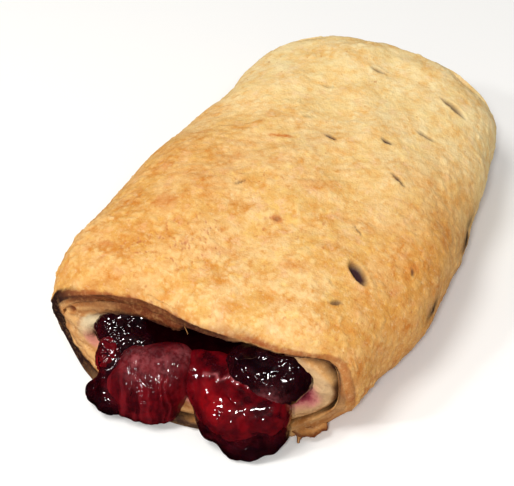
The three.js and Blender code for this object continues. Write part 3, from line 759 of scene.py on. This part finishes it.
# Each cherry is a few soft balls pressed together: middle (across, ahead of the mouth, up), radii, and where
# turned, lean, roll and turn
plainFruit = {"cuts": [], "ribs": None, "paleSkinAndSheen": [], "paintedGlow": []}
fruits = {
    "cherry_left": {
        "look": "dullCherry", "detail": 7, "middle": (-7.2, 7.0, 8.0), "shade": 0.15,
        "balls": [
            ((-7.0, 7.2, 7.0), (8.2, 6.2, 7.2), (0, 0, 24)),
            ((-7.2, 4.8, 10.9), (8.6, 3.2, 3.4), (0, -19, 41)),
            ((-11.0, 9.8, 4.6), (4.4, 3.8, 4.2), (0, 0, 20)),
            ((-2.4, 3.8, 11.4), (3.6, 4.2, 5.0), (0, 0, 30)),
            ((-7.4, 4.4, 12.0), (4.6, 3.0, 3.6), (0, 0, 41)),
            ((-6.0, 9.6, 3.6), (5.4, 3.6, 3.4), (0, 0, 10)),
            ((-11.6, 5.8, 10.8), (3.0, 3.2, 3.4)),
        ],
        "cuts": [((0.12, -0.88, 0.42), 5.8, 0.3)],
        "lumps": (0.35, 5.0), "wrinkles": (0.10, 3.6), "ribs": (0.30, 0.9, 14.0, 30), "fine": (0.02, 1.2),
        "paleSkinAndSheen": [
            ((-9.0, 7.6, 13.6), 3.4, 0.75), ((-4.4, 6.4, 14.4), 3.0, 0.6), ((-1.5, 3.2, 15.4), 2.2, 0.8),
        ],
        "paintedGlow": [((-1.0, 8.0, 9.0), 3.2, 0.5), ((-14.5, 7.0, 8.0), 2.4, 0.8)],
    },
    "cherry_left_lobe": {
        "look": "darkCherry", "detail": 6, "middle": (-15.2, 11.4, 4.4), "shade": 0.5,
        "balls": [((-14.4, 11.4, 4.0), (4.2, 3.8, 3.8)), ((-17.4, 10.8, 3.3), (2.9, 2.8, 3.1)),
                  ((-15.2, 9.0, 6.2), (3.1, 3.0, 3.2))],
        "lumps": (0.5, 2.8), "wrinkles": (0.14, 2.2), "fine": (0.01, 0.9),
    },
    "cherry_left_bit": {
        "look": "redCherry", "detail": 6, "middle": (-17.6, 6.2, 9.6), "shade": 0.3,
        "balls": [((-17.0, 6.4, 9.2), (3.0, 3.4, 4.2)), ((-18.0, 4.4, 11.4), (2.6, 3.2, 3.0))],
        "lumps": (0.5, 2.2), "wrinkles": (0.3, 1.6), "fine": (0.08, 0.7),
        "paintedGlow": [((-17.4, 9.4, 10.6), 2.6, 1.0)],
    },
    "cherry_left_back": {
        "look": "darkCherry", "detail": 6, "middle": (-18.0, -1.0, 12.4), "shade": 0.8,
        "balls": [((-19.2, 0.2, 12.8), (4.8, 5.2, 4.6)), ((-13.8, 1.4, 12.2), (5.0, 4.6, 3.2), (0, 0, 10)),
                  ((-17.2, -3.4, 13.4), (6.2, 5.4, 5.4))],
        "lumps": (0.6, 2.8), "wrinkles": (0.2, 1.9), "fine": (0.02, 0.9),
        "paintedGlow": [((-21.0, 4.6, 14.2), 1.6, 0.7)],
    },
    "cherry_right": {
        "look": "redCherry", "detail": 7, "middle": (11.4, 4.2, 9.4), "shade": 0,
        "balls": [
            ((11.2, 3.2, 9.2), (9.2, 7.4, 6.4), (10, 0, 12)),
            ((5.2, 2.4, 9.8), (4.4, 5.0, 4.6)),
            ((12.6, 7.2, 8.0), (6.4, 4.6, 5.0), (0, 0, 10)),
            ((18.6, 3.4, 9.2), (4.6, 4.8, 5.0)),
            ((6.5, -1.0, 11.6), (6.0, 5.5, 4.2)),
            ((1.6, 0.6, 10.8), (4.2, 4.6, 4.6)),
        ],
        "lumps": (0.35, 6.0), "wrinkles": (0.08, 4.0), "fine": (0.01, 1.2),
        "fold": {
            "start": (4.4, 4.8), "end": (14.2, 3.4), "swing": 0.5, "turns": 3.2, "width": 0.42, "lift": 0.22,
        },
        "paintedGlow": [((8.6, 8.0, 11.6), 4.2, 0.85), ((13.8, 8.4, 10.4), 3.0, 0.5)],
    },
    "cherry_right_low": {
        "look": "darkCherry", "detail": 6, "middle": (15.0, 6.4, 4.0), "shade": 0.05,
        "balls": [
            ((15.0, 6.2, 4.2), (7.4, 5.0, 4.4), (0, 0, 22)),
            ((15.2, 9.0, 2.2), (4.2, 2.8, 2.6), (0, 0, 10)),
            ((19.0, 4.2, 4.2), (3.8, 4.2, 4.4)),
            ((8.7, 7.4, 5.0), (4.6, 3.8, 4.2)),
        ],
        "lumps": (0.55, 3.0), "wrinkles": (0.12, 2.4), "fine": (0.01, 0.9),
        "paintedGlow": [((12.0, 10.0, 5.5), 3.0, 0.5)],
    },
    "cherry_right_dark": {
        "look": "darkCherry", "detail": 7, "middle": (16.4, -4.0, 13.6), "shade": 0.75,
        "balls": [
            ((16.2, -4.2, 15.0), (9.3, 7.2, 6.2)),
            ((18.0, 0.4, 13.6), (4.6, 3.7, 4.0)),
            ((12.6, 0.0, 14.6), (5.2, 4.0, 4.0)),
        ],
        "lumps": (0.7, 3.4), "wrinkles": (0.12, 2.6), "fine": (0.01, 0.9),
        "paleSkinAndSheen": [((18.8, 3.6, 13.8), 2.4, 0.7)], "paintedGlow": [((18.8, 3.6, 13.0), 3.0, 0.8)],
    },
    "cherry_far_left": {
        "look": "darkCherry", "detail": 6, "middle": (-11.5, -96.0, 12.0), "shade": 0.3,
        "balls": [
            ((-12.4, -96.4, 12.0), (7.6, 5.8, 5.4), (0, 0, -14)), ((-6.4, -95.4, 11.4), (4.4, 5.0, 4.4)),
        ],
        "lumps": (0.6, 3.2), "wrinkles": (0.14, 2.4), "fine": (0.01, 0.9),
    },
    "cherry_far_right": {
        "look": "redCherry", "detail": 6, "middle": (8.5, -96.8, 11.8), "shade": 0.1,
        "balls": [((7.6, -96.6, 11.8), (7.4, 6.0, 5.4), (0, 0, 10)), ((13.4, -96.2, 11.6), (4.4, 5.0, 4.2))],
        "lumps": (0.5, 3.6), "wrinkles": (0.10, 2.8), "fine": (0.01, 0.9),
        "paintedGlow": [((8.5, -102.0, 12.0), 5.0, 0.8)],
    },
}
pressing = 5.0      # how crisply the balls of one cherry meet


def ball(detail):
    mesh = bmesh.new()
    bmesh.ops.create_icosphere(mesh, subdivisions=detail, radius=1)
    points = np.array([v.co[:] for v in mesh.verts])
    faces = [[v.index for v in f.verts] for f in mesh.faces]
    mesh.free()
    return points / np.linalg.norm(points, axis=1, keepdims=True), faces


def atMouth(place):                         # from (across, ahead of the mouth, up) to a point
    return np.array([place[0], -halfLength - place[1], place[2]])


def fullness(points, balls):                # above 1 inside the pressed balls
    total = 0
    for middle, radii, *tilt in balls:
        angles = [math.radians(a) for a in (tilt[0] if tilt else (0, 0, 0))]
        axes = np.array(Euler(angles, "XYZ").to_matrix())
        away = ((points - atMouth(middle)) @ axes) / np.array(radii)
        total = total + np.exp(pressing * (1 - np.sqrt((away**2).sum(-1))))
    return total


def pressBalls(fruit, fill=1.0):            # the skin round the balls, found outwards from the middle
    direction, faces = ball(fruit["detail"])
    centre = atMouth(fruit["middle"])
    reach = 18.0
    steps = np.linspace(0, reach, 46)
    inside = np.array([fullness(centre + direction * step, fruit["balls"]) >= fill for step in steps])
    last = len(steps) - 1 - np.argmax(inside[::-1], axis=0)
    low, high = steps[last], steps[np.minimum(last + 1, len(steps) - 1)]
    for _ in range(7):
        half = (low + high) / 2
        full = fullness(centre + direction * half[:, None], fruit["balls"]) >= fill
        low, high = np.where(full, half, low), np.where(full, high, half)
    return centre + direction * low[:, None], faces


def vertexNormals(points, faces):
    f = np.array(faces)
    corners = points[f]
    flat = np.cross(corners[:, 1] - corners[:, 0], corners[:, 2] - corners[:, 0])
    normal = np.zeros_like(points)
    for k in range(f.shape[1]):
        np.add.at(normal, f[:, k], flat)
    return normal / (np.linalg.norm(normal, axis=1, keepdims=True) + 1e-12)


def nearness(points, spots):                # 1 at a spot, fading over its width
    total = np.zeros(len(points))
    for place, width, strength in spots:
        away = np.linalg.norm(points - atMouth(place), axis=1)
        total = np.maximum(total, strength * np.exp(-((away / width) ** 2)))
    return total


def foldLine(points, normal, fold):         # a crumpled fold of skin that swings from side to side on the top
    start, end = np.array(fold["start"]), np.array(fold["end"])
    run = end - start
    length = math.hypot(*run)
    place = np.stack([points[:, 0], -halfLength - points[:, 1]], -1) - start
    t = place @ run / length**2
    side = (place @ np.array([-run[1], run[0]])) / length
    turn = 2 * math.pi * fold["turns"]
    swing = fold["swing"] * smooth((t - 0.12) / 0.15) * (1 + 0.25 * softNoise(points, 3.0, 4.0))
    slope = swing * turn / length * np.cos(turn * t)
    wobble = 0.55 * softNoise(points, 1.7, 2.0) * smooth((t - 0.12) / 0.15)
    away = (side - swing * np.sin(turn * t) + wobble) / np.sqrt(1 + slope**2)
    ends = smooth((t + 0.06) / 0.06) * smooth((1.06 - t) / 0.06)
    return bump(away, 0, fold["width"]) * ends * smooth((normal[:, 2] - 0.1) / 0.3)


def makeFruit(name, fruit, material):
    fruit = {**plainFruit, **fruit}
    points, faces = pressBalls(fruit)
    for aim, limit, keep in fruit["cuts"]:      # a face pressed or cut flat
        aim = np.array(aim) / np.linalg.norm(aim)
        over = np.maximum((points - atMouth(fruit["middle"])) @ aim - limit, 0)
        points = points - aim * (over * (1 - keep))[:, None]
    normal = vertexNormals(points, faces)
    rib = np.zeros(len(points))
    seed = fruit["middle"][0] * 0.37
    height, size = fruit["lumps"]
    lift = height * softNoise(points, size, seed)
    height, size = fruit["wrinkles"]
    warp = 0.8 * softNoise(points, 3.0, 5.0)[:, None]
    folds = np.abs(softNoise(points + warp, size, seed + 2))
    lift = lift - height * (1 - smooth(folds / 0.25))
    if fruit["ribs"]:
        height, width, length, turn = fruit["ribs"]
        across = turned(points[:, 0], points[:, 1], turn)[0] + warp[:, 0]
        grooves = softNoise(np.stack([across / width, points[:, 2] / length, 0 * across], -1), 1.0, seed)
        rib = grooves * smooth(0.3 - normal[:, 1])
        lift = lift + height * rib
    height, size = fruit["fine"]
    lift = lift + height * softNoise(points, size, 3.0)
    ridge = np.zeros(len(points))
    if "fold" in fruit:
        ridge = foldLine(points, normal, fruit["fold"])
        lift = lift + fruit["fold"]["lift"] * ridge
    points = points + normal * lift[:, None]
    points[:, 2] = np.maximum(points[:, 2], 0.05)
    masks = {
        # painted sheen at the listed spots, and the pale skin along the fold's ridge
        "paleSkinAndSheen": np.maximum(nearness(points, fruit["paleSkinAndSheen"]), 0.9 * ridge),
        "shade": np.clip(fruit["shade"] + 0.75 * smooth((6.5 - points[:, 2]) / 6), 0, 1),
        # painted glow where light shines through thin flesh
        "paintedGlow": nearness(points, fruit["paintedGlow"]),
        # darker in the wrinkle creases: painted shade
        "fold": (1 - smooth(folds / 0.25)) * (0.2 if fruit["ribs"] else 1),
        "rib": 0.5 + rib,
    }
    piece = makePiece(name + "_flesh", points, faces, masks, material)
    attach(piece, "root")
    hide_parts(name)
    return piece


fleshes = {                                 # deep, body and painted glow colours, how wet; the deep colour also takes the painted shade
    "redCherry": ((48, 2, 8), (100, 5, 14), (150, 5, 14), 1.0),
    "dullCherry": ((52, 3, 9), (98, 8, 16), (148, 10, 18), 0.35),
    "darkCherry": ((16, 1, 5), (50, 4, 12), (104, 8, 24), 1.0),
    "cherrySyrup": ((28, 1, 6), (62, 3, 11), (90, 6, 16), 1.0),
    # a darker copy of the syrup for inside the roll: painted shade of the hollow
    "shadedInsideSyrup": ((10, 0, 1), (30, 1, 3), (40, 2, 6), 0),
}
# the pink is painted sheen on the cherries, and the fold's pale skin
fleshMarks = {"rib": (128, 28, 36), "paleSkinAndSheen": (160, 84, 88)}


def fruitMaterial(name):
    deep, body, paintedGlow = [colour(*shade) for shade in fleshes[name][:3]]
    wet = fleshes[name][3]
    material, tree, shader = newMaterial(
        name, Subsurface_Weight=0.2, Subsurface_Scale=1.6 * mm, Coat_Weight=wet, Coat_Roughness=0.04,
        Coat_IOR=1.7, Specular_IOR_Level=0.05 * wet)
    shader.inputs["Subsurface Radius"].default_value = (1.0, 0.06, 0.05)
    cloud, veins, fine = grain(tree, 3.4, 3, 0.6), grain(tree, 1.3, 3, 0.6), grain(tree, 0.5, 2)
    base = mix(tree, span(tree, cloud, 0.36, 0.62), deep, body)
    # painted glow of light shining through the flesh
    glow = times(tree, mask(tree, "paintedGlow"), span(tree, cloud, 0.25, 0.6, 0.4, 1.0))
    base = mix(tree, glow, base, paintedGlow)
    # painted shade in the wrinkle creases
    base = mix(tree, times(tree, mask(tree, "fold"), 0.4), base, deep)
    base = mix(tree, span(tree, mask(tree, "rib"), 0.55, 0.85, 0, 0.4), base, colour(*fleshMarks["rib"]))
    base = mix(tree, span(tree, mask(tree, "rib"), 0.45, 0.2, 0, 0.45), base, deep)
    base = mix(tree, times(tree, mask(tree, "shade"), 0.8), base, deep)
    # painted pink sheen, and the fold's pale skin
    paleSkinAndSheen = times(tree, mask(tree, "paleSkinAndSheen"), span(tree, veins, 0.35, 0.65, 0.2, 0.9))
    base = mix(tree, paleSkinAndSheen, base, colour(*fleshMarks["paleSkinAndSheen"]))
    tree.links.new(base, shader.inputs["Base Color"])
    tree.links.new(span(tree, veins, 0.3, 0.7, 0.3, 0.55), shader.inputs["Roughness"])
    height = maths(tree, "ADD", times(tree, grain(tree, 3.0, 1), 0.97), times(tree, fine, 0.03))
    bumps = relief(tree, shader, height, 0.6)
    tree.links.new(bumps.outputs["Normal"], shader.inputs["Coat Normal"])
    return material


# The syrup inside

core = {
    "gap": 0.5, "wave": 0.3, "bulge": 3, "low": 0.3, "slump": 5.4, "slumpLength": 20, "farSlump": 4,
    "faceBack": 3.5, "farFaceBack": 3, "columns": 120, "rows": 90, "caps": 14,
    "lumps": (0.8, 4.5), "fine": (0.25, 1.4),
}


def coreRing(angle, t, share):
    back = core["faceBack"] * (1 - t) - core["farFaceBack"] * t
    inside = wrap["wall"] + core["gap"]
    y = wallPoint(angle, t, back, inside)[:, 1]
    nearMouth = 1 - smooth((y + halfLength) / core["slumpLength"])
    nearFar = 1 - smooth((halfLength - y) / core["slumpLength"])
    sunk = (core["slump"] * nearMouth + core["farSlump"] * nearFar) * np.maximum(np.sin(angle), 0)
    ring = wallPoint(angle, t, back, inside + sunk + core["wave"] * np.sin(3 * angle + 0.3 * y))
    up = np.full_like(angle, math.pi / 2)
    low, high = section(-up, y, inside)[1], section(up, y, inside)[1]
    middle = np.stack([section(up, y, 0.0)[0], y, low + (high - low) * core["low"]], -1)
    drawn = middle + (ring - middle) * share
    drawn[:, 1] += (-1 if t < 0.5 else 1) * core["bulge"] * (1 - share * share)
    return drawn


def makeCore(material):
    angle = np.linspace(0, 2 * math.pi, core["columns"], endpoint=False)
    shares = np.sin(np.linspace(0.02, 1, core["caps"]) * math.pi / 2)
    rings = [coreRing(angle, 0, share) for share in shares]
    rings += [coreRing(angle, k / core["rows"], 1) for k in range(1, core["rows"])]
    rings += [coreRing(angle, 1, share) for share in shares[::-1]]
    grid = np.array(rings)
    lumpy = sum(height * softNoise(grid, size) for height, size in (core["lumps"], core["fine"]))
    nearEnd = smooth((np.abs(grid[..., 1]) - halfLength + 12) / 6)
    grid[..., 1] -= np.sign(grid[..., 1]) * lumpy * nearEnd
    grid[..., 2] += 0.4 * lumpy * nearEnd
    faces = ringFaces(len(rings), len(angle), False)
    count, around = len(rings) * len(angle), len(angle)
    faces.append(list(range(around))[::-1])
    faces.append(list(range(count - around, count)))
    still = np.zeros(count)
    masks = {
        # fold: darker in the dips of the lumpy syrup, painted shade
        "paleSkinAndSheen": still, "paintedGlow": still, "fold": np.clip(0.5 - lumpy.ravel(), 0, 1), "rib": still + 0.5,
        "shade": still + 0.8,
    }
    piece = makePiece("syrup", grid, faces, masks, material)
    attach(piece, "root")
    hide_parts("cherry_filling")
    return piece


syrups = {                                  # the syrup in the creases between the cherries of one side
    "syrup_left": {
        "middle": (-10.5, 7.4, 7.4), "between": ["cherry_left", "cherry_left_lobe", "cherry_left_bit"],
    },
    "syrup_right": {"middle": (13.0, 4.4, 7.6), "between": ["cherry_right", "cherry_right_low"]},
}
syrupSkin = {"fill": 1.34, "wave": (0.25, 2.2), "sunk": 0.1}


def makeSyrup(name, syrup, material):
    balls = [piece for member in syrup["between"] for piece in fruits[member]["balls"]]
    points, faces = pressBalls({"detail": 6, "middle": syrup["middle"], "balls": balls}, syrupSkin["fill"])
    height, size = syrupSkin["wave"]
    normal = vertexNormals(points, faces)
    points = points + normal * (height * softNoise(points, size, 6.0) - syrupSkin["sunk"])[:, None]
    points[:, 2] = np.maximum(points[:, 2], 0.03)
    still = np.zeros(len(points))
    shade = smooth((7 - points[:, 2]) / 5)
    masks = {"paleSkinAndSheen": still, "paintedGlow": still, "fold": still, "rib": still + 0.5, "shade": shade}
    piece = makePiece(name, points, faces, masks, material)
    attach(piece, "root")
    return piece


# Torn crust at the mouth

# A strip along a line: how wide at its start and end, how thick, how far its edges curl up
flakes = {
    "flake": {"line": [(20.0, -48.6, 1.9), (22.6, -49.4, 1.8), (25.8, -48.6, 1.9), (28.6, -45.4, 2.9)],
              "wide": (2.2, 3.0), "thick": 1.0, "curl": 0.5},
    "flake_tip": {"line": [(23.6, -48.6, 1.5), (24.0, -49.8, 1.1), (24.2, -50.6, 0.7), (24.5, -51.4, 0.4)],
                  "wide": (2.4, 0.4), "thick": 0.6, "curl": 0.2},
    "thread": {"line": [(-2.8, -49.6, 22.6), (-2.4, -49.7, 21.2), (-2.0, -49.4, 19.6), (-2.1, -49.2, 18.2)],
               "wide": (0.22, 0.16), "thick": 0.18, "curl": 0},
}


def makeFlake(name, flake, material):
    along, sides = 40, 16
    t = np.linspace(0, 1, along)
    line = np.stack([through([place[k] for place in flake["line"]], t) for k in range(3)], -1)
    ahead = np.gradient(line, axis=0)
    ahead = ahead / np.linalg.norm(ahead, axis=1, keepdims=True)
    aside = np.cross(ahead, (0, 0, 1) if abs(ahead[0][2]) < 0.8 else (0, 1, 0))
    aside = aside / np.linalg.norm(aside, axis=1, keepdims=True)
    above = np.cross(aside, ahead)
    wide = (flake["wide"][0] + (flake["wide"][1] - flake["wide"][0]) * t) / 2
    taper = np.sqrt(smooth(t / 0.08) * smooth((1 - t) / 0.08)) * 0.95 + 0.05
    turn = np.arange(sides) / sides * 2 * math.pi
    u, v = np.cos(turn)[None, :], np.sin(turn)[None, :]
    out = u * (wide * taper)[:, None]
    up = v * flake["thick"] / 2 * taper[:, None] + flake["curl"] * (u * u - 0.5)
    grid = line[:, None, :] + aside[:, None, :] * out[..., None] + above[:, None, :] * up[..., None]
    rough = [softNoise(grid, 1.5, shift) + 0.5 * softNoise(grid, 0.6, shift) for shift in (1, 4, 7)]
    grid = grid + min(flake["thick"], 0.9) * 0.6 * np.stack(rough, -1)
    grid[..., 2] = np.maximum(grid[..., 2], 0.05)
    ends = [list(range(sides))[::-1], list(range((along - 1) * sides, along * sides))]
    faces = ringFaces(along, sides, False) + ends
    still = np.zeros(out.shape)
    brownedAndShaded = smooth((np.abs(u) + still - 0.1) / 0.8) * (flake["thick"] > 0.2)
    masks = {"cut": still + 1, "layer": still + 0.3, "brownedAndShaded": brownedAndShaded}
    piece = makePiece(name, grid, faces, masks, material)
    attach(piece, "root")
    return piece


# Building

crust = crustMaterial()
for name, flake in flakes.items():
    makeFlake(name, flake, crust)
pastry = makePastry(crust)
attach(pastry, "root")
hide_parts("dough_wrap")

materials = {name: fruitMaterial(name) for name in fleshes}
for name, fruit in fruits.items():
    makeFruit(name, fruit, materials[fruit["look"]])
print("fruit", len(fruits), "pieces")
makeCore(materials["shadedInsideSyrup"])
for name, syrup in syrups.items():
    makeSyrup(name, syrup, materials["cherrySyrup"])
print("syrup done")


# Floor, light and camera

studio = {
    "floor": (250, 250, 249), "floorSize": 3.0,
    "sky": (1.0, 0.99, 0.97), "skyStrength": 0.36,
    "lamps": [      # name, place in m, size in m, power in W, colour, what it shows in
        ("soft above", (-0.22, -0.28, 0.80), 0.32, 3.3, (1.0, 0.98, 0.95), "plain"),
        ("flash", (0.13, -0.44, 0.48), 0.080, 1.6, (1.0, 0.98, 0.96), "both"),
        ("small left", (-0.32, -0.36, 0.42), 0.060, 0.7, (1.0, 1.0, 1.0), "both"),
        ("small right", (0.36, -0.30, 0.60), 0.050, 0.3, (1.0, 1.0, 1.0), "both"),
        ("low front", (0.10, -0.58, 0.10), 0.050, 0.2, (1.0, 1.0, 1.0), "gloss"),
        ("behind", (0.16, 0.60, 0.30), 0.060, 0.4, (1.0, 1.0, 1.0), "gloss"),
        ("low left", (-0.26, -0.50, 0.16), 0.050, 0.2, (1.0, 1.0, 1.0), "gloss"),
    ],
}
camera = {
    "azimuth": 27.587, "elevation": 46.065, "distance": 308.415, "target": (-4.878, -13.207, 10.8),
    "lens": 96.04,
}


def makeFloor():
    side = studio["floorSize"] / 2
    mesh = bpy.data.meshes.new("floor")
    corners = [(-side, -side, 0), (side, -side, 0), (side, side, 0), (-side, side, 0)]
    mesh.from_pydata(corners, [], [(0, 1, 2, 3)])
    material, tree, shader = newMaterial("paleFloor", Roughness=0.6)
    shader.inputs["Base Color"].default_value = colour(*studio["floor"])
    mesh.materials.append(material)
    floor = bpy.data.objects.new("floor", mesh)
    bpy.context.scene.collection.objects.link(floor)
    floor.visible_glossy = False        # the room round the lamps stays dark in the syrup's gloss


def makeLights():
    world = bpy.data.worlds.new("studio")
    world.use_nodes = True
    sky = world.node_tree.nodes["Background"]
    sky.inputs["Color"].default_value = (*studio["sky"], 1)
    sky.inputs["Strength"].default_value = studio["skyStrength"]
    world.cycles_visibility.glossy = False
    bpy.context.scene.world = world
    for name, place, size, power, tint, shown in studio["lamps"]:
        light = bpy.data.lights.new(name, "AREA")
        light.shape = "DISK"
        light.size = size
        light.energy = power
        light.color = tint
        lamp = bpy.data.objects.new(name, light)
        lamp.location = place
        lamp.visible_glossy = shown != "plain"
        lamp.visible_diffuse = shown != "gloss"
        lamp.rotation_euler = (-Vector(place)).to_track_quat("-Z", "Y").to_euler()
        bpy.context.scene.collection.objects.link(lamp)


def makeCamera():
    side, up = math.radians(camera["azimuth"]), math.radians(camera["elevation"])
    back = Vector((math.sin(side) * math.cos(up), -math.cos(side) * math.cos(up), math.sin(up)))
    lens = bpy.data.cameras.new("camera")
    lens.lens = camera["lens"]
    lens.sensor_width = 36
    lens.sensor_fit = "HORIZONTAL"
    lens.clip_start = 0.01
    view = bpy.data.objects.new("camera", lens)
    view.location = (Vector(camera["target"]) + back * camera["distance"]) * mm
    view.rotation_euler = back.to_track_quat("Z", "Y").to_euler()
    bpy.context.scene.collection.objects.link(view)
    bpy.context.scene.camera = view


makeFloor()
makeLights()
makeCamera()
bpy.context.scene.view_settings.view_transform = "Standard"
print("stage done")
